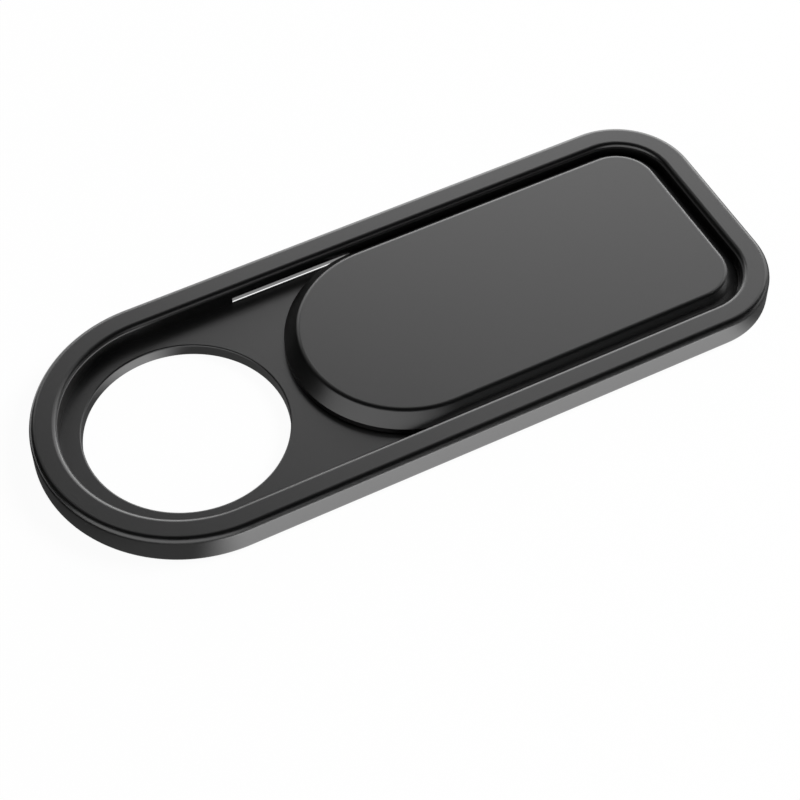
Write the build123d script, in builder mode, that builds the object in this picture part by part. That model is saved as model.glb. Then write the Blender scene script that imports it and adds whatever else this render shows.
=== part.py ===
"""Sliding cover for a built-in camera, in millimetres.

A shallow frame with a half-round lens end and a square parking end carries a flat cover. The cover
slides along two guide channels, over the lens opening or clear of it. An adhesive pad is on the underside.
The origin is the middle of the underside, +X runs from the lens end to the parking end and +Z is up.
"""
import os

from build123d import *

os.makedirs("parts", exist_ok=True)

# Frame, overall
length = 33.0
width = 13.0
body_height = 1.5
corner_radius = 3.6
outer_edge_radius = 0.3

# Frame, recess and lens opening
rim_width = 1.2
rim_inner_edge_radius = 0.25
floor_thickness = 0.58
lens_radius = 4.4
lens_edge_radius = 0.08

# Guide channels: grooves under the rim, level with the floor, and open through it at their lens end
lip_thickness = 0.62
channel_depth = 0.565
channel_from_lens = 4.6
channel_end_land = 0.34
opening_length = 5.85
opening_inset = 0.04

# Cover
cover_length = 20.0
bevel = 0.6
cover_edge_radius = 0.3
tab_corner_radius = 0.15

# Adhesive pad
pad_thickness = 0.1
pad_inset = 0.7
pad_lens_margin = 0.3
pad_channel_margin = 0.3
pad_corner_radius = 0.5

# Clearances between the moving cover and the frame
side_gap = 0.06
end_gap = 0.15
floor_gap = 0.05
tab_top_gap = 0.06
tab_side_gap = 0.15
stop_gap = 0.05

# Levels
frame_base = pad_thickness
frame_top = frame_base + body_height
floor_top = frame_base + floor_thickness
lip_underside = frame_top - lip_thickness
cover_base = floor_top + floor_gap
tab_top = lip_underside - tab_top_gap

# Plan of the frame
half_width = width / 2
lens_x = half_width - length / 2
frame_end = length / 2
pocket_half = half_width - rim_width
pocket_start = lens_x - pocket_half
pocket_end = frame_end - rim_width
pocket_corner = corner_radius - rim_width

# Plan of the cover, parked clear of the lens
cover_half = pocket_half - side_gap
cover_end = pocket_end - end_gap
cover_start = cover_end - cover_length
cover_arc_x = cover_start + cover_half
cover_corner = pocket_corner - side_gap
travel = cover_start - (pocket_start + end_gap)

# Plan of the guide channels and of the tabs that run in them and stop at their ends
channel_start = lens_x + channel_from_lens
channel_end = pocket_end - pocket_corner - channel_end_land
channel_outer = pocket_half + channel_depth
opening_end = channel_start + opening_length
opening_inner = pocket_half + opening_inset
tab_start = channel_start + travel + stop_gap
tab_end = channel_end - stop_gap
tab_outer = channel_outer - tab_side_gap

# Plan of the notches that keep the adhesive pad clear of the channels' openings
notch_start = channel_start - pad_channel_margin
notch_end = opening_end + pad_channel_margin
notch_inner = pocket_half - pad_channel_margin


def rounded_end_plate(half, arc_x, end_x, corner):
    """Plan with a half-round end about arc_x and a square end at end_x with rounded corners."""
    with BuildLine() as outline:
        Line((arc_x, -half), (end_x - corner, -half))
        CenterArc((end_x - corner, corner - half), corner, -90, 90)
        Line((end_x, corner - half), (end_x, half - corner))
        CenterArc((end_x - corner, half - corner), corner, 0, 90)
        Line((end_x - corner, half), (arc_x, half))
        CenterArc((arc_x, 0), half, 90, 180)
    make_face(outline.edges())


def pair_of_strips(start, end, inner, outer, mode=Mode.ADD):
    """Two rectangles along X, one on each long side, between the distances inner and outer from the middle."""
    middle = (inner + outer) / 2
    with Locations(((start + end) / 2, -middle), ((start + end) / 2, middle)):
        Rectangle(end - start, outer - inner, mode=mode)


# Frame: rounded slab
with BuildPart() as frame:
    with BuildSketch(Plane.XY.offset(frame_base)):
        rounded_end_plate(half_width, lens_x, frame_end, corner_radius)
    extrude(amount=body_height)
    fillet(frame.edges().filter_by(Axis.Z, reverse=True), radius=outer_edge_radius)

    # Recess in which the cover slides
    with BuildSketch(Plane.XY.offset(floor_top)):
        rounded_end_plate(pocket_half, lens_x, pocket_end, pocket_corner)
    extrude(amount=body_height, mode=Mode.SUBTRACT)
    rim_top = frame.faces().filter_by(Axis.Z).sort_by(Axis.Z)[-1]
    fillet(rim_top.inner_wires()[0].edges(), radius=rim_inner_edge_radius)

    # Lens opening through the floor
    with BuildSketch(Plane.XY.offset(frame_base)):
        with Locations((lens_x, 0)):
            Circle(lens_radius)
    extrude(amount=body_height, mode=Mode.SUBTRACT)
    floor_face = frame.faces().filter_by(Axis.Z).group_by(Axis.Z)[1][0]
    fillet(floor_face.inner_wires()[0].edges(), radius=lens_edge_radius)

    # Guide channels under the rim, and their openings through the floor
    with BuildSketch(Plane.XY.offset(floor_top)):
        pair_of_strips(channel_start, channel_end, pocket_half, channel_outer)
    extrude(amount=lip_underside - floor_top, mode=Mode.SUBTRACT)
    with BuildSketch(Plane.XY.offset(frame_base)):
        pair_of_strips(channel_start, opening_end, opening_inner, channel_outer)
    extrude(amount=floor_thickness, mode=Mode.SUBTRACT)
frame.part.label = "frame"
export_step(frame.part, "parts/frame.step")

# Cover: plate with a bevelled and rounded upper edge
with BuildPart() as cover:
    with BuildSketch(Plane.XY.offset(cover_base)):
        rounded_end_plate(cover_half, cover_arc_x, cover_end, cover_corner)
    extrude(amount=frame_top - cover_base)
    chamfer(cover.faces().sort_by(Axis.Z)[-1].edges(), length=bevel)
    fillet(cover.faces().sort_by(Axis.Z)[-1].edges(), radius=cover_edge_radius)

    # Tabs that run in the guide channels
    with BuildSketch(Plane.XY.offset(cover_base)):
        pair_of_strips(tab_start, tab_end, 0, tab_outer)
    extrude(amount=tab_top - cover_base)
    tab_corners = cover.edges().filter_by(Axis.Z).group_by(lambda edge: abs(edge.center().Y))[-1]
    fillet(tab_corners, radius=tab_corner_radius)
cover.part.label = "cover"
export_step(cover.part, "parts/cover.step")

# Adhesive pad: die-cut tape that leaves the lens opening and the channels' openings free
with BuildPart() as adhesive_pad:
    with BuildSketch() as pad_plan:
        rounded_end_plate(half_width - pad_inset, lens_x, frame_end - pad_inset, corner_radius - pad_inset)
        pair_of_strips(notch_start, notch_end, notch_inner, half_width, mode=Mode.SUBTRACT)
        near_start, near_end = notch_start - pad_channel_margin, notch_end + pad_channel_margin
        notch_corners = pad_plan.vertices().filter_by_position(Axis.X, near_start, near_end)
        fillet(notch_corners.group_by(lambda corner: abs(corner.Y))[0], radius=pad_corner_radius)
        with Locations((lens_x, 0)):
            Circle(lens_radius + pad_lens_margin, mode=Mode.SUBTRACT)
    extrude(amount=pad_thickness)
adhesive_pad.part.label = "adhesive_pad"
export_step(adhesive_pad.part, "parts/adhesive_pad.step")
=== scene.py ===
"""Looks of the sliding camera cover: its frame, cover and adhesive pad, on a white studio floor.

The pieces are in metres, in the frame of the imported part: +X runs from the lens end to the parking end,
+Y to the back and +Z up, and the origin is the middle of the underside.
"""

import math

import bpy
import numpy as np
from mathutils import Matrix, Vector


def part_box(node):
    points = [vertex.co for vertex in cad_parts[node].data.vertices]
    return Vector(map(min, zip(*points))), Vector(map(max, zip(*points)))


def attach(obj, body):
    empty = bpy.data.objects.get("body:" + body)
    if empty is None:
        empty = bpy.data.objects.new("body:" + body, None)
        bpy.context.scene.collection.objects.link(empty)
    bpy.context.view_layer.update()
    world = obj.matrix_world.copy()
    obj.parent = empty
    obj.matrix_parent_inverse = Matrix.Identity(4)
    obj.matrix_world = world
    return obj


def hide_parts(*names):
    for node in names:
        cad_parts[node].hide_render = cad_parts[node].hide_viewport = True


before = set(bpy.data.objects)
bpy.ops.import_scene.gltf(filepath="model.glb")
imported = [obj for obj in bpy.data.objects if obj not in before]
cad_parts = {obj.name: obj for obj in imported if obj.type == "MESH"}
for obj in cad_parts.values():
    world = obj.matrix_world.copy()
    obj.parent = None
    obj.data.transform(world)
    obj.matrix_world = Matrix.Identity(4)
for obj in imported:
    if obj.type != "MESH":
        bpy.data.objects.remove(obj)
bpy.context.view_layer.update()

bl_info = {
    "name": "Sliding Camera Cover",
    "version": (1, 0, 0),
    "blender": (4, 5, 0),
    "location": "View3D > Sidebar > Camera Cover",
    "description": "Builds a stick-on sliding cover for a built-in camera and its studio stage",
    "category": "Object",
}

MM = 0.001
FRAME_LOW, FRAME_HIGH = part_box("frame")
COVER_LOW, COVER_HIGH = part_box("cover")

# Stations on half of the round end, a corner, half of the square end, a straight side and a tab's corner
ROUND_END_STATIONS = 56
CORNER_STATIONS = 24
SQUARE_END_STATIONS = 5
SIDE_STATIONS = 40
TAB_CORNER_STATIONS = 6

# Steps across the roundings of the edges
OUTER_EDGE_STEPS = 12
INNER_EDGE_STEPS = 10
LENS_EDGE_STEPS = 5
COVER_EDGE_STEPS = 9

# Factors that mirror a plan about the middle line
MIRROR = np.array([1, -1])

# Points of a skin that are nearer than this are one point
JOIN_DISTANCE = 1e-8

# Octaves of the noise in the finishes, its mean, and the grain's part in the gloss for one part of patches
PATCH_DETAIL = 3.0
GRAIN_DETAIL = 2.0
FIBRE_DETAIL = 6.0
NOISE_MEAN = 0.5
GRAIN_SHARE = 0.5

# Sockets of a Mix node for colours: share, first colour, second colour and result
MIX_SHARE = 0
MIX_FIRST = 6
MIX_SECOND = 7
MIX_RESULT = 2

# Stage, in metres: half the floor, the card's reach and its back edge, and their depths below the part
FLOOR_REACH = 3.0
CARD_REACH = 40 * MM
CARD_BACK = 6.2 * MM
FLOOR_DEPTH = 0.01 * MM
CARD_DEPTH = 0.005 * MM
WHITE = (1.0, 1.0, 1.0)

# Lamps: metres to the part, and watts for each square metre of a lamp of radiance 1
LAMP_DISTANCE = 0.5
LAMP_POWER = 4

# Camera: sensor in millimetres, and the nearest and farthest that it shows, in metres
SENSOR_WIDTH = 36.0
CLIP_NEAR = 1 * MM
CLIP_FAR = 20.0


def length_property(name, description, millimetres):
    """A length of the part, given in millimetres and kept in metres."""
    length = millimetres * MM
    return bpy.props.FloatProperty(
        name=name, description=description, default=length, min=0.0, precision=5, unit="LENGTH"
    )


def share_property(name, description, share):
    """A share from 0 to 1."""
    return bpy.props.FloatProperty(
        name=name, description=description, default=share, min=0.0, max=1.0, subtype="FACTOR"
    )


def angle_property(name, description, degrees):
    """An angle, given in degrees and kept in radians."""
    return bpy.props.FloatProperty(
        name=name, description=description, default=math.radians(degrees), subtype="ANGLE"
    )


def number_property(name, description, number):
    """A plain number of at least 0."""
    return bpy.props.FloatProperty(name=name, description=description, default=number, min=0.0)


def colour_property(name, description, colour):
    """A linear colour."""
    return bpy.props.FloatVectorProperty(
        name=name, description=description, default=colour, size=3, min=0.0, max=1.0, subtype="COLOR"
    )


def place_property(name, description, millimetres):
    """One coordinate or more, given in millimetres and kept in metres."""
    place = [value * MM for value in millimetres]
    return bpy.props.FloatVectorProperty(
        name=name, description=description, default=place, size=len(place), precision=5, unit="LENGTH"
    )


class FrameSizes(bpy.types.PropertyGroup):
    """Sizes of the frame, its recess, lens opening and guide channels."""

    length: length_property("Length", "Length over both ends", 2 * FRAME_HIGH.x / MM)
    width: length_property("Width", "Width over both sides", 2 * FRAME_HIGH.y / MM)
    corner_radius: length_property("Corner Radius", "Plan radius of the parking end's corners", 3.6)
    outer_edge_radius: length_property("Outer Edge", "Rounding of the upper and lower outer edges", 0.3)
    rim_width: length_property("Rim Width", "Width of the rim round the recess", 1.2)
    inner_edge_radius: length_property("Inner Edge", "Rounding of the rim's inner edge", 0.25)
    floor_thickness: length_property("Floor", "Thickness of the floor that the cover runs on", 0.58)
    lens_radius: length_property("Lens Radius", "Radius of the lens opening", 4.4)
    lens_edge_radius: length_property("Lens Edge", "Rounding of the lens opening's upper edge", 0.08)
    lip_thickness: length_property("Lip", "Thickness of the rim above the guide channels", 0.62)
    channel_depth: length_property("Channel Depth", "How far the channels go under the rim", 0.565)
    channel_from_lens: length_property("Channel Start", "From the lens middle to the channels", 4.6)
    channel_end_land: length_property("Channel End", "From the channels to the recess corners", 0.34)
    opening_length: length_property("Opening", "Length of the channels' openings in the floor", 5.85)
    opening_inset: length_property("Opening Inset", "From the recess wall to the openings", 0.04)


class CoverSizes(bpy.types.PropertyGroup):
    """Sizes of the sliding cover and its tabs."""

    length: length_property("Length", "Length over both ends", 20.0)
    side_gap: length_property("Side Gap", "Clearance between the cover and the recess sides", 0.06)
    bevel: length_property("Bevel", "Leg of the sloping edge round the top", 0.6)
    edge_radius: length_property("Edge Radius", "Rounding between the sloping edge and the top", 0.3)
    tab_height: length_property("Tab Height", "Height of the tabs that run in the channels", 0.19)
    tab_corner_radius: length_property("Tab Corner", "Plan radius of the tabs' corners", 0.15)
    tab_from_end: length_property("Tab End", "From the square end of the cover to the tabs", 2.64)
    tab_length: length_property("Tab Length", "Length of the tabs", 7.56)


class PlasticFinish(bpy.types.PropertyGroup):
    """Satin black moulded plastic."""

    dark: colour_property("Dark", "Colour in the darker patches", (0.0008, 0.0008, 0.0009))
    pale: colour_property("Pale", "Colour in the paler patches", (0.0014, 0.0014, 0.0015))
    roughness: share_property("Roughness", "Mean roughness of the satin skin", 0.3)
    roughness_spread: share_property("Roughness Spread", "How much the roughness drifts", 0.04)
    refraction: number_property("Refraction", "Index of refraction of the glossy skin", 1.8)
    specular: share_property("Specular", "Level of the glossy reflection", 1.0)
    grain: length_property("Grain", "Size of the spark-eroded mould grain", 0.05)
    grain_height: length_property("Grain Height", "Height of the mould grain", 0.0002)
    patch: length_property("Patch", "Size of the patches in which the finish drifts", 2.5)


class TapeFinish(bpy.types.PropertyGroup):
    """Dull black adhesive tape."""

    dark: colour_property("Dark", "Colour between the fibres", (0.032, 0.032, 0.033))
    pale: colour_property("Pale", "Colour on the fibres", (0.062, 0.062, 0.063))
    roughness: share_property("Roughness", "Mean roughness of the tacky face", 0.62)
    roughness_spread: share_property("Roughness Spread", "How much the fibres change it", 0.3)
    fibre: length_property("Fibre", "Size of the carrier's fibre clumps", 0.22)
    fibre_height: length_property("Fibre Height", "Height of the carrier's fibres", 0.006)


class StudioSetup(bpy.types.PropertyGroup):
    """Camera, lamps and floor. A surface whose radiance is 1 renders as white."""

    camera_azimuth: angle_property("Azimuth", "Camera round the part, from straight in front", -27.067)
    camera_elevation: angle_property("Elevation", "Camera above the floor", 51.929)
    camera_roll: angle_property("Roll", "Turn of the picture", 0.5045)
    camera_lens: number_property("Lens", "Focal length in millimetres", 99.01)
    camera_distance: length_property("Distance", "From the camera to the aim point", 94.115)
    aim: place_property("Aim", "Point in the middle of the picture", (-1.18, -2.53, 0.10))
    key_light: number_property("Key", "Radiance of the lamp that lights the floor", 16.0)
    core_light: number_property("Core", "Radiance of the softbox that the flat faces mirror", 0.82)
    upper_light: number_property("Upper", "Radiance of the wide softbox above the core", 0.38)
    crown_light: number_property("Crown", "Radiance of the wide softbox nearly overhead", 0.13)
    edge_light: number_property("Edge", "Radiance of the wide softbox that lines the edges", 1.69)
    low_light: number_property("Low", "Radiance of the wide softbox low at the back", 1.71)
    right_light: number_property("Right", "Radiance of the tall softbox at the right", 0.675)
    corner_light: number_property("Corner", "Radiance of the low softbox at the front right", 0.45)
    far_light: number_property("Far", "Radiance of the softbox at the far left", 0.55)
    left_light: number_property("Left", "Radiance of the wide softbox at the front left", 0.57)
    strip_light: number_property("Strip", "Radiance of the small softbox in front", 0.18)
    fill_light: number_property("Fill", "Radiance of the weak softbox for views from behind", 0.08)
    surround: number_property("Surround", "Radiance of the dim studio all round", 0.002)
    floor_colour: colour_property("Floor", "Colour of the studio floor", (0.86, 0.86, 0.86))
    floor_white: share_property("White Share", "Share of even white in what is seen of the floor", 0.96)


class PaintedReflectionSetup(bpy.types.PropertyGroup):
    """Card of painted reflections and painted shade: its radiances, and where each patch starts to fade in
    and where it is full.
    """

    # Painted reflections and painted shade: the white patches stand in for a lit floor, and the dark rest
    # for the floor in shade
    white: number_property("White", "Radiance of the white patches", 1.18)
    dark: number_property("Dark", "Radiance of the rest of the card", 0.165)
    # Painted highlight: extra glow in the band's front part, which the front wall mirrors as a bright line
    painted_glint: number_property("Flare", "What the front part of the band adds to its white", 1.3)
    band_left: place_property("Band Left", "Fade at the left end of the band", (-12.7, -10.0))
    band_right: place_property("Band Right", "Fade at the right end of the band", (15.4, 13.2))
    band_front: place_property("Band Front", "Fade at the front of the band", (-8.9, -8.7))
    band_back: place_property("Band Back", "Fade at the back of the band", (-5.4, -6.2))
    painted_glint_fade: place_property("Band Flare", "Fade into the front part of the band", (-7.7, -8.3))
    window_left: place_property("Window Left", "Fade at the left end of the window", (-12.7, -10.5))
    window_right: place_property("Window Right", "Fade at the right end of the window", (-8.3, -9.9))
    window_front: place_property("Window Front", "Fade at the front of the window", (1.0, 2.4))
    strip_left: place_property("Strip Left", "Fade at the left end of the strip", (-5.6, -5.4))
    strip_front: place_property("Strip Front", "Fade at the front of the strip", (4.6, 4.8))
    # Painted shade that fades to black towards the left end of the card
    painted_shade_left: place_property("Dark Left", "Fade from black at the left of the card", (-20.0, -14.0))


# Outlines and profiles


def half_round_path(half, arc_x, end_x, corner, side_x):
    """Plan outline with a half-round end about arc_x and a square end at end_x with rounded corners.

    The front half runs from the tip of the round end along a quarter circle, the straight side at the
    stations side_x, a corner arc and half of the square end. The back half is its mirror image, taken
    in reverse. No station lies on the middle line, so front and back stations face each other in pairs.
    Gives the points, anticlockwise, and the outward direction at each.
    """
    step = math.pi / 2 / (ROUND_END_STATIONS - 0.5)
    arc = 1.5 * math.pi - step * np.arange(ROUND_END_STATIONS - 1, -1, -1)
    turn = np.linspace(-math.pi / 2, 0, CORNER_STATIONS + 1)[1:]
    flat = half - corner
    rise = 2 * flat / (2 * SQUARE_END_STATIONS + 1) * np.arange(1, SQUARE_END_STATIONS + 1)
    side = side_x[1:]
    arc_cos, arc_sin = np.cos(arc), np.sin(arc)
    turn_cos, turn_sin = np.cos(turn), np.sin(turn)
    turn_x = end_x - corner + corner * turn_cos
    x = np.concatenate([arc_x + half * arc_cos, side, turn_x, rise * 0 + end_x])
    y = np.concatenate([half * arc_sin, side * 0 - half, corner * turn_sin - flat, rise - flat])
    out_x = np.concatenate([arc_cos, side * 0, turn_cos, rise * 0 + 1])
    out_y = np.concatenate([arc_sin, side * 0 - 1, turn_sin, rise * 0])
    points = np.column_stack([x, y])
    points = np.concatenate([points, points[::-1] * MIRROR])
    outward = np.column_stack([out_x, out_y])
    outward = np.concatenate([outward, outward[::-1] * MIRROR])
    return points, outward


def circle_path(middle_x, radius, angle):
    """Circle about a point of the middle line, at the given angles, with its outward directions."""
    outward = np.column_stack([np.cos(angle), np.sin(angle)])
    return radius * outward + [middle_x, 0], outward


def straight_run(start, end, direction):
    """Straight stretch of a profile from one (inset, height) point to another.

    The direction is its (outward, upward) direction, the same all along.
    """
    return np.column_stack([np.array([start, end]), np.array([direction, direction])])


def round_run(centre, radius, start, end, steps):
    """Arc of a profile about an (inset, height) centre. Its angle runs from outward towards upward."""
    angle = np.radians(np.linspace(start, end, steps + 1))
    outward, upward = np.cos(angle), np.sin(angle)
    return np.column_stack([centre[0] - radius * outward, centre[1] + radius * upward, outward, upward])


def carry(path, profile):
    """Surface of a profile carried along a path.

    A profile point moves each path point inward by its inset and up to its height. The surface
    direction is the path's outward direction times the profile's outward part, with the profile's
    upward part.
    """
    points, outward = path
    inset, height, out, up = (part[:, None] for part in profile.T)
    plan = points[None] - inset[..., None] * outward[None]
    level = np.broadcast_to(height, plan.shape[:2])
    lean = out[..., None] * outward[None]
    return np.dstack([plan, level]), np.dstack([lean, np.broadcast_to(up, plan.shape[:2])])


def flat_between(first, second, height, up):
    """Level surface ruled between two plan curves with as many points, facing up (1) or down (-1)."""
    plan = np.stack([first, second])
    level = np.full(plan.shape[:2], height)
    return np.dstack([plan, level]), np.broadcast_to([0.0, 0.0, up], (*plan.shape[:2], 3))


def inset_curve(path, inset):
    """Plan curve that runs inside a path at an even distance."""
    points, outward = path
    return points - inset * outward


def between_stations(path, start, end):
    """For each stretch of a path to its next station, whether its middle is between two places in x."""
    x = path[0][:, 0]
    middle = (x + np.roll(x, -1)) / 2
    return (middle > start) & (middle < end)


class Skin:
    """Grids of points gathered into one mesh.

    A grid's rows follow the profile and its columns the path, with the outside on the left of the path
    when the profile points ahead. Points at one place are joined, and each face corner keeps its grid's
    direction.
    """

    def __init__(self):
        self.points = []
        self.directions = []
        self.corners = []
        self.count = 0

    def add(self, surface, keep=None, closed=True):
        """Adds a grid as quads: all round a closed path or not, and only in columns that keep marks."""
        points, directions = surface
        rows, columns = points.shape[:2]
        number = self.count + np.arange(rows * columns).reshape(rows, columns)
        beside = np.roll(number, -1, axis=1)
        quads = np.stack([number[:-1], number[1:], beside[1:], beside[:-1]], axis=-1)
        if not closed:
            quads = quads[:, :-1]
        if keep is not None:
            quads = quads[:, keep]
        self.points.append(points.reshape(-1, 3))
        self.directions.append(directions.reshape(-1, 3))
        self.corners.append(quads.reshape(-1, 4))
        self.count += rows * columns

    def make(self, name, material):
        """Makes the mesh and its object, with the surface directions as the corners' own normals."""
        corner = np.concatenate(self.corners).ravel()
        points = np.concatenate(self.points)[corner]
        places = np.round(points / JOIN_DISTANCE).astype(np.int64)
        _, first, joined = np.unique(places, axis=0, return_index=True, return_inverse=True)
        mesh = bpy.data.meshes.new(name)
        mesh.from_pydata(points[first].tolist(), [], joined.reshape(-1, 4).tolist())
        mesh.polygons.foreach_set("use_smooth", np.ones(len(mesh.polygons), dtype=bool))
        mesh.normals_split_custom_set(np.concatenate(self.directions)[corner].tolist())
        mesh.materials.append(material)
        piece = bpy.data.objects.new(name, mesh)
        bpy.context.scene.collection.objects.link(piece)
        return piece


# Shader maths


class Socket:
    """A shader socket that takes part in arithmetic: each operator adds a Math node to its tree."""

    def __init__(self, tree, output):
        self.tree = tree
        self.output = output

    @staticmethod
    def node(tree, kind, settings, inputs, output=0):
        """Adds a node: its settings, then a value or a link for each input. Gives one of its outputs."""
        made = tree.nodes.new(kind)
        for name, value in settings.items():
            setattr(made, name, value)
        for name, value in inputs.items():
            if isinstance(value, Socket):
                tree.links.new(value.output, made.inputs[name])
            else:
                made.inputs[name].default_value = value
        return Socket(tree, made.outputs[output]) if made.outputs else None

    def maths(self, operation, first, second):
        """A Math node on two values."""
        return Socket.node(self.tree, "ShaderNodeMath", {"operation": operation}, {0: first, 1: second})

    def __add__(self, other):
        return self.maths("ADD", self, other)

    __radd__ = __add__

    def __sub__(self, other):
        return self.maths("SUBTRACT", self, other)

    def __rsub__(self, other):
        return self.maths("SUBTRACT", other, self)

    def __mul__(self, other):
        return self.maths("MULTIPLY", self, other)

    __rmul__ = __mul__


def opaque(colour):
    """A colour with full alpha."""
    return (*colour, 1.0)


def new_tree(owner):
    """An empty node tree of a material or a world."""
    owner.use_nodes = True
    owner.node_tree.nodes.clear()
    return owner.node_tree


def noise(tree, place, size, detail):
    """Noise from 0 to 1 with features of the given size."""
    inputs = {"Vector": place, "Scale": 1 / size, "Detail": detail}
    return Socket.node(tree, "ShaderNodeTexNoise", {}, inputs, "Fac")


def bump(tree, height, distance):
    """Normal of a surface whose height is a share of the given distance."""
    inputs = {"Strength": 1.0, "Distance": distance, "Height": height}
    return Socket.node(tree, "ShaderNodeBump", {}, inputs)


def mixed_colour(tree, share, first, second):
    """A colour between two."""
    inputs = {MIX_SHARE: share, MIX_FIRST: opaque(first), MIX_SECOND: opaque(second)}
    return Socket.node(tree, "ShaderNodeMix", {"data_type": "RGBA"}, inputs, MIX_RESULT)


def satin_plastic(finish):
    """Black plastic from a spark-eroded mould: fine grain, and a slow drift of gloss and colour."""
    material = bpy.data.materials.new("Satin_Black_Plastic")
    tree = new_tree(material)
    place = Socket.node(tree, "ShaderNodeTexCoord", {}, {}, "Object")
    drift = noise(tree, place, finish.patch, PATCH_DETAIL)
    grain = noise(tree, place, finish.grain, GRAIN_DETAIL)
    wander = drift - NOISE_MEAN + GRAIN_SHARE * (grain - NOISE_MEAN)
    inputs = {
        "Base Color": mixed_colour(tree, drift, finish.dark, finish.pale),
        "Roughness": finish.roughness + wander * finish.roughness_spread,
        "IOR": finish.refraction,
        "Specular IOR Level": finish.specular,
        "Normal": bump(tree, grain, finish.grain_height),
    }
    surface = Socket.node(tree, "ShaderNodeBsdfPrincipled", {}, inputs)
    Socket.node(tree, "ShaderNodeOutputMaterial", {}, {"Surface": surface})
    return material


def fibre_tape(finish):
    """Black double-sided tape: a dull tacky face with the carrier's fibres showing through."""
    material = bpy.data.materials.new("Black_Fibre_Tape")
    tree = new_tree(material)
    place = Socket.node(tree, "ShaderNodeTexCoord", {}, {}, "Object")
    fibres = noise(tree, place, finish.fibre, FIBRE_DETAIL)
    inputs = {
        "Base Color": mixed_colour(tree, fibres, finish.dark, finish.pale),
        "Roughness": finish.roughness + (fibres - NOISE_MEAN) * finish.roughness_spread,
        "Normal": bump(tree, fibres, finish.fibre_height),
    }
    surface = Socket.node(tree, "ShaderNodeBsdfPrincipled", {}, inputs)
    Socket.node(tree, "ShaderNodeOutputMaterial", {}, {"Surface": surface})
    return material


def plastic(context):
    """The plastic that the frame and the cover share."""
    return bpy.data.materials.get("Satin_Black_Plastic") or satin_plastic(context.scene.cover_plastic)


# Operators


class CAMERACOVER_OT_frame(bpy.types.Operator):
    """Build the frame: rim, recess, lens opening and guide channels"""

    bl_idname = "camera_cover.frame"
    bl_label = "Frame"

    def execute(self, context):
        sizes = context.scene.cover_frame
        base, top = FRAME_LOW.z, FRAME_HIGH.z
        floor = base + sizes.floor_thickness
        lip = top - sizes.lip_thickness
        half = sizes.width / 2
        end_x = sizes.length / 2
        lens_x = half - end_x
        rim = sizes.rim_width
        pocket_half = half - rim
        corner_x = end_x - sizes.corner_radius
        start = lens_x + sizes.channel_from_lens
        end = corner_x - sizes.channel_end_land
        open_end = start + sizes.opening_length
        reach = rim - sizes.channel_depth
        brink = rim - sizes.opening_inset
        outer, inner = sizes.outer_edge_radius, sizes.inner_edge_radius

        # Side stations at even angles about the lens, and at the ends of the channels and their openings
        spread = np.linspace(math.pi / 2, math.atan2(pocket_half, corner_x - lens_x), SIDE_STATIONS)
        even = lens_x + pocket_half / np.tan(spread)
        even[[0, -1]] = lens_x, corner_x
        stations = np.union1d(even, [start, open_end, end])
        path = half_round_path(half, lens_x, end_x, sizes.corner_radius, stations)
        in_channel = between_stations(path, start, end)
        in_opening = between_stations(path, start, open_end)
        past_opening = in_channel & ~in_opening

        # Lens opening, at the angles under which the lens middle sees the recess outline
        pocket = inset_curve(path, rim)
        angle = np.arctan2(pocket[:, 1], pocket[:, 0] - lens_x)
        lens = circle_path(lens_x, sizes.lens_radius, angle)
        edge = sizes.lens_edge_radius
        skin = Skin()
        skin.add(carry(lens, straight_run((0, base), (0, floor - edge), (-1, 0))))
        skin.add(carry(lens, round_run((-edge, floor - edge), edge, 180, 90, LENS_EDGE_STEPS)))
        skin.add(flat_between(inset_curve(lens, -edge), pocket, floor, 1))

        # Recess wall, rim and outer wall
        skin.add(carry(path, straight_run((rim, floor), (rim, lip), (-1, 0))), ~in_channel)
        skin.add(carry(path, straight_run((rim, lip), (rim, top - inner), (-1, 0))))
        skin.add(carry(path, round_run((rim - inner, top - inner), inner, 180, 90, INNER_EDGE_STEPS)))
        skin.add(carry(path, straight_run((rim - inner, top), (outer, top), (0, 1))))
        skin.add(carry(path, round_run((outer, top - outer), outer, 90, 0, OUTER_EDGE_STEPS)))
        skin.add(carry(path, straight_run((0, top - outer), (0, base + outer), (1, 0))))
        skin.add(carry(path, round_run((outer, base + outer), outer, 0, -90, OUTER_EDGE_STEPS)))

        # Underside
        skin.add(carry(path, straight_run((outer, base), (reach, base), (0, -1))))
        skin.add(carry(path, straight_run((reach, base), (brink, base), (0, -1))), ~in_opening)
        skin.add(carry(path, straight_run((brink, base), (rim, base), (0, -1))))
        skin.add(flat_between(pocket, lens[0], base, -1))

        # Guide channels: floor, far wall and underside of the lip
        skin.add(carry(path, straight_run((rim, floor), (brink, floor), (0, 1))), in_channel)
        skin.add(carry(path, straight_run((brink, floor), (reach, floor), (0, 1))), past_opening)
        skin.add(carry(path, straight_run((reach, floor), (reach, lip), (-1, 0))), in_channel)
        skin.add(carry(path, straight_run((reach, lip), (rim, lip), (0, -1))), in_channel)

        # Openings through the floor: its edge and the far wall below it
        skin.add(carry(path, straight_run((brink, floor), (brink, base), (1, 0))), in_opening)
        skin.add(carry(path, straight_run((reach, base), (reach, floor), (-1, 0))), in_opening)

        # Ends of the channels and of their openings, which face each other along the path
        channel_end = in_channel, [reach, brink, rim], [floor, lip]
        opening_end = in_opening, [reach, brink], [base, floor]
        for inside, insets, levels in (channel_end, opening_end):
            before = np.roll(inside, 1)
            inset, height = np.meshgrid(insets, levels, indexing="ij")
            for column in np.flatnonzero(inside != before):
                sense = 1 if inside[column] else -1
                point, outward = path[0][column], path[1][column]
                grid = np.dstack([point - inset[..., None] * outward, height])
                along = np.array([-outward[1], outward[0], 0]) * sense
                if sense < 0:
                    grid = grid.transpose(1, 0, 2)
                skin.add((grid, np.broadcast_to(along, grid.shape)), closed=False)

        piece = skin.make("Moulded_Frame", plastic(context))
        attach(piece, "frame")
        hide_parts("frame")
        return {"FINISHED"}


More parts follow.
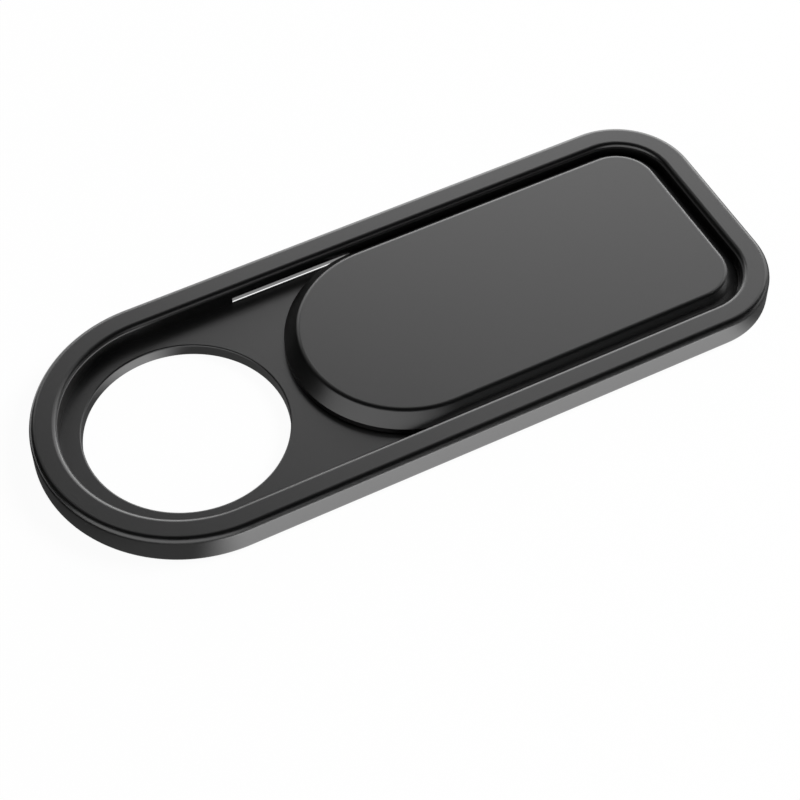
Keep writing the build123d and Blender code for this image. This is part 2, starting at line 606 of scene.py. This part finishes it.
class CAMERACOVER_OT_cover(bpy.types.Operator):
    """Build the sliding cover: bevelled plate and the tabs that run in the guide channels"""

    bl_idname = "camera_cover.cover"
    bl_label = "Cover"

    def execute(self, context):
        sizes = context.scene.cover_plate
        recess = context.scene.cover_frame
        base, top = COVER_LOW.z, COVER_HIGH.z
        half = recess.width / 2 - recess.rim_width - sizes.side_gap
        corner = recess.corner_radius - recess.rim_width - sizes.side_gap
        end_x = COVER_HIGH.x
        arc_x = end_x - sizes.length + half
        tab_top = base + sizes.tab_height
        tab_end = end_x - sizes.tab_from_end
        tab_start = tab_end - sizes.tab_length
        reach = COVER_HIGH.y - half
        radius = sizes.tab_corner_radius

        # Plan of the front tab: out from the cover's side, round a corner, along, and back the same way
        turn = np.radians(np.linspace(180, 90, TAB_CORNER_STATIONS + 1))
        away = np.cos(turn)
        x = np.concatenate([[tab_start], tab_start + radius + radius * away])
        x = np.concatenate([x, tab_start + tab_end - x[::-1]])
        out = np.concatenate([[0], reach - radius + radius * np.sin(turn)])
        out = np.concatenate([out, out[::-1]])
        lean = np.concatenate([[-1], away])
        lean = np.concatenate([lean, -lean[::-1]])
        tab = np.column_stack([x, -half - out]), np.column_stack([lean, -np.sqrt(1 - lean**2)])
        side = np.column_stack([x, np.full_like(x, -half)])

        stations = np.union1d(x, [arc_x, end_x - corner])
        path = half_round_path(half, arc_x, end_x, corner, stations)
        in_tab = between_stations(path, tab_start, tab_end)

        # Plate: rounded upper edge, sloping edge and wall, then the flat top and underside
        edge = sizes.edge_radius
        crest = sizes.bevel + edge * math.tan(math.pi / 8)
        slope = math.sqrt(0.5)
        skin = Skin()
        skin.add(carry(path, round_run((crest, top - edge), edge, 90, 45, COVER_EDGE_STEPS)))
        brow = (crest - edge * slope, top - edge + edge * slope)
        skin.add(carry(path, straight_run(brow, (0, top - sizes.bevel), (slope, slope))))
        skin.add(carry(path, straight_run((0, top - sizes.bevel), (0, tab_top), (1, 0))))
        skin.add(carry(path, straight_run((0, tab_top), (0, base), (1, 0))), ~in_tab)
        pairs = len(path[0]) // 2
        ridge = inset_curve(path, crest)
        skin.add(flat_between(ridge[::-1][:pairs], ridge[:pairs], top, 1), closed=False)
        skin.add(flat_between(path[0][:pairs], path[0][::-1][:pairs], base, -1), closed=False)

        # Tabs, the back one as the mirror image of the front one
        back_tab = tab[0][::-1] * MIRROR, tab[1][::-1] * MIRROR
        for outline, line in ((tab, side), (back_tab, side[::-1] * MIRROR)):
            skin.add(carry(outline, straight_run((0, tab_top), (0, base), (1, 0))), closed=False)
            skin.add(flat_between(line[1:-1], outline[0][1:-1], tab_top, 1), closed=False)
            skin.add(flat_between(outline[0][1:-1], line[1:-1], base, -1), closed=False)

        piece = skin.make("Sliding_Cover", plastic(context))
        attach(piece, "cover")
        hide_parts("cover")
        return {"FINISHED"}


class CAMERACOVER_OT_pad(bpy.types.Operator):
    """Give the die-cut adhesive pad its tape finish"""

    bl_idname = "camera_cover.pad"
    bl_label = "Adhesive Pad"

    def execute(self, context):
        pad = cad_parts["adhesive_pad"]
        pad.data.materials.clear()
        pad.data.materials.append(fibre_tape(context.scene.cover_tape))
        return {"FINISHED"}


def softbox(name, radiance, azimuth, elevation, width, height, mirrored=True):
    """Rectangular lamp of an even radiance that faces the part.

    Azimuth runs from +X towards +Y and elevation from the floor. Both are in degrees, and so are the
    width and the height under which the part sees the lamp. A lamp that isn't mirrored doesn't show in
    reflections.
    """
    lamp = bpy.data.lights.new(name, "AREA")
    lamp.shape = "RECTANGLE"
    lamp.size = 2 * LAMP_DISTANCE * math.tan(math.radians(width / 2))
    lamp.size_y = 2 * LAMP_DISTANCE * math.tan(math.radians(height / 2))
    lamp.energy = LAMP_POWER * lamp.size * lamp.size_y * radiance
    holder = bpy.data.objects.new(name, lamp)
    bpy.context.scene.collection.objects.link(holder)
    turn, rise = math.radians(azimuth), math.radians(elevation)
    level = Vector((math.cos(turn), math.sin(turn), 0)) * math.cos(rise)
    away = level + Vector((0, 0, math.sin(rise)))
    holder.location = LAMP_DISTANCE * away
    holder.rotation_mode = "QUATERNION"
    holder.rotation_quaternion = (-away).to_track_quat("-Z", "Y")
    holder.visible_camera = False
    holder.visible_glossy = mirrored


def level_sheet(name, low, high, depth, material):
    """A level rectangle of the stage between two plan corners, facing up, at a depth below the part."""
    plan = np.stack(np.meshgrid([low[0], high[0]], [high[1], low[1]]), axis=-1)
    skin = Skin()
    skin.add(flat_between(plan[0], plan[1], -depth, 1), closed=False)
    sheet = skin.make(name, material)
    return sheet


def studio_floor(setup):
    """A level white floor. What is seen of it is mostly even white, with a share of light and shadow."""
    material = bpy.data.materials.new("Studio_White")
    tree = new_tree(material)
    camera = Socket.node(tree, "ShaderNodeLightPath", {}, {}, "Is Camera Ray")
    glossy = Socket.node(tree, "ShaderNodeLightPath", {}, {}, "Is Glossy Ray")
    through = Socket.node(tree, "ShaderNodeLightPath", {}, {}, "Is Transmission Ray")
    seen = Socket.node(tree, "ShaderNodeClamp", {}, {"Value": camera + glossy + through})
    lit = Socket.node(tree, "ShaderNodeBsdfDiffuse", {}, {"Color": opaque(setup.floor_colour)})
    even = Socket.node(tree, "ShaderNodeEmission", {}, {"Color": opaque(WHITE), "Strength": 1.0})
    inputs = {0: seen * setup.floor_white, 1: lit, 2: even}
    surface = Socket.node(tree, "ShaderNodeMixShader", {}, inputs)
    Socket.node(tree, "ShaderNodeOutputMaterial", {}, {"Surface": surface})
    low, high = (-FLOOR_REACH, -FLOOR_REACH), (FLOOR_REACH, FLOOR_REACH)
    level_sheet("Studio_Floor", low, high, FLOOR_DEPTH, material)


def faded(value, fade):
    """Smooth step of a coordinate: 0 up to where a fade starts, and 1 from where it is full."""
    start, full = fade
    settings = {"interpolation_type": "SMOOTHSTEP"}
    inputs = {"Value": value, "From Min": start, "From Max": full}
    return Socket.node(value.tree, "ShaderNodeMapRange", settings, inputs)


def painted_reflection_card(card):
    """A glowing card on the floor, which only the part's reflections see: dark, with white patches that
    fade.

    The dark part is painted shade that stands in for the shaded floor round the part, and it fades to
    black at the left. The white patches are painted reflections of a lit floor: a band that the front wall
    mirrors, brightest in its front part as a painted highlight, a window at the back of the lens opening,
    and a strip under the back guide channel.
    """
    material = bpy.data.materials.new("Painted_Reflection_Card")
    tree = new_tree(material)
    place = Socket.node(tree, "ShaderNodeTexCoord", {}, {}, "Object")
    x = Socket.node(tree, "ShaderNodeSeparateXYZ", {}, {"Vector": place}, "X")
    y = Socket.node(tree, "ShaderNodeSeparateXYZ", {}, {"Vector": place}, "Y")
    band_length = faded(x, card.band_left) * faded(x, card.band_right)
    band = band_length * faded(y, card.band_front) * faded(y, card.band_back)
    # Painted highlight in the front part of the band
    painted_glint = band * faded(y, card.painted_glint_fade)
    window = faded(x, card.window_left) * faded(x, card.window_right) * faded(y, card.window_front)
    strip = faded(x, card.strip_left) * faded(y, card.strip_front)
    # Painted shade all over, fading to black at the left, with painted reflections and a painted highlight
    # on top
    patches = (band + window + strip) * (card.white - card.dark)
    glow = faded(x, card.painted_shade_left) * card.dark + patches + painted_glint * card.painted_glint
    surface = Socket.node(tree, "ShaderNodeEmission", {}, {"Color": glow, "Strength": 1.0})
    Socket.node(tree, "ShaderNodeOutputMaterial", {}, {"Surface": surface})
    low, high = (-CARD_REACH, -CARD_REACH), (CARD_REACH, CARD_BACK)
    sheet = level_sheet("Painted_Reflection_Card", low, high, CARD_DEPTH, material)
    # Seen only in reflections: the card paints reflections and shade into the part and lights nothing
    sheet.visible_camera = False
    sheet.visible_diffuse = False
    sheet.visible_transmission = False
    sheet.visible_shadow = False


def studio_world(setup):
    """A dim, even studio all round."""
    world = bpy.data.worlds.new("Studio_Surround")
    tree = new_tree(world)
    inputs = {"Color": opaque(WHITE), "Strength": setup.surround}
    dim = Socket.node(tree, "ShaderNodeBackground", {}, inputs)
    Socket.node(tree, "ShaderNodeOutputWorld", {}, {"Surface": dim})
    bpy.context.scene.world = world


def studio_camera(setup):
    """Camera at the picture's angle: back points from the aim to it, and roll turns the picture."""
    turn, rise, roll = setup.camera_azimuth, setup.camera_elevation, setup.camera_roll
    level = Vector((math.sin(turn), -math.cos(turn), 0))
    back = level * math.cos(rise) + Vector((0, 0, math.sin(rise)))
    side = Vector((math.cos(turn), math.sin(turn), 0))
    over = back.cross(side)
    right = math.cos(roll) * side - math.sin(roll) * over
    up = math.sin(roll) * side + math.cos(roll) * over
    lens = bpy.data.cameras.new("Camera")
    lens.sensor_width = SENSOR_WIDTH
    lens.lens = setup.camera_lens
    lens.clip_start = CLIP_NEAR
    lens.clip_end = CLIP_FAR
    camera = bpy.data.objects.new("Camera", lens)
    bpy.context.scene.collection.objects.link(camera)
    place = Vector(setup.aim) + back * setup.camera_distance
    camera.matrix_world = Matrix.Translation(place) @ Matrix((right, up, back)).transposed().to_4x4()
    bpy.context.scene.camera = camera


class CAMERACOVER_OT_stage(bpy.types.Operator):
    """Set the studio: white floor, card of painted reflections and painted shade, softboxes, dim surround
    and camera
    """

    bl_idname = "camera_cover.stage"
    bl_label = "Studio"

    def execute(self, context):
        setup = context.scene.cover_studio
        studio_floor(setup)
        painted_reflection_card(context.scene.cover_card)
        softbox("Key", setup.key_light, azimuth=-20, elevation=45, width=24, height=24, mirrored=False)
        softbox("Core_Softbox", setup.core_light, azimuth=57, elevation=35, width=30, height=18)
        softbox("Upper_Softbox", setup.upper_light, azimuth=40, elevation=50, width=50, height=15)
        softbox("Crown_Softbox", setup.crown_light, azimuth=60, elevation=66, width=70, height=14)
        softbox("Edge_Softbox", setup.edge_light, azimuth=58, elevation=20, width=56, height=11)
        softbox("Low_Softbox", setup.low_light, azimuth=52, elevation=6, width=48, height=16)
        softbox("Right_Softbox", setup.right_light, azimuth=19, elevation=21, width=26, height=42)
        softbox("Corner_Softbox", setup.corner_light, azimuth=-14, elevation=10, width=26, height=18)
        softbox("Far_Softbox", setup.far_light, azimuth=94, elevation=24, width=26, height=38)
        softbox("Left_Softbox", setup.left_light, azimuth=225, elevation=22, width=100, height=44)
        softbox("Strip_Softbox", setup.strip_light, azimuth=286, elevation=22, width=16, height=10)
        softbox("Fill_Softbox", setup.fill_light, azimuth=-45, elevation=13, width=34, height=16)
        studio_world(setup)
        studio_camera(setup)
        context.scene.view_settings.view_transform = "Standard"
        return {"FINISHED"}


class CAMERACOVER_PT_panel(bpy.types.Panel):
    """The steps that build the part"""

    bl_idname = "CAMERACOVER_PT_panel"
    bl_label = "Camera Cover"
    bl_space_type = "VIEW_3D"
    bl_region_type = "UI"
    bl_category = "Camera Cover"

    def draw(self, context):
        for step in STEPS:
            self.layout.operator(step.bl_idname)


STEPS = (CAMERACOVER_OT_frame, CAMERACOVER_OT_cover, CAMERACOVER_OT_pad, CAMERACOVER_OT_stage)
GROUPS = {
    "cover_frame": FrameSizes,
    "cover_plate": CoverSizes,
    "cover_plastic": PlasticFinish,
    "cover_tape": TapeFinish,
    "cover_studio": StudioSetup,
    "cover_card": PaintedReflectionSetup,
}


def register():
    for group in GROUPS.values():
        bpy.utils.register_class(group)
    for name, group in GROUPS.items():
        setattr(bpy.types.Scene, name, bpy.props.PointerProperty(type=group))
    for step in STEPS:
        bpy.utils.register_class(step)
    bpy.utils.register_class(CAMERACOVER_PT_panel)


def unregister():
    bpy.utils.unregister_class(CAMERACOVER_PT_panel)
    for step in reversed(STEPS):
        bpy.utils.unregister_class(step)
    for name in GROUPS:
        delattr(bpy.types.Scene, name)
    for group in reversed(GROUPS.values()):
        bpy.utils.unregister_class(group)


def main():
    register()
    bpy.ops.camera_cover.frame()
    bpy.ops.camera_cover.cover()
    bpy.ops.camera_cover.pad()
    bpy.ops.camera_cover.stage()


if __name__ == "__main__":
    main()
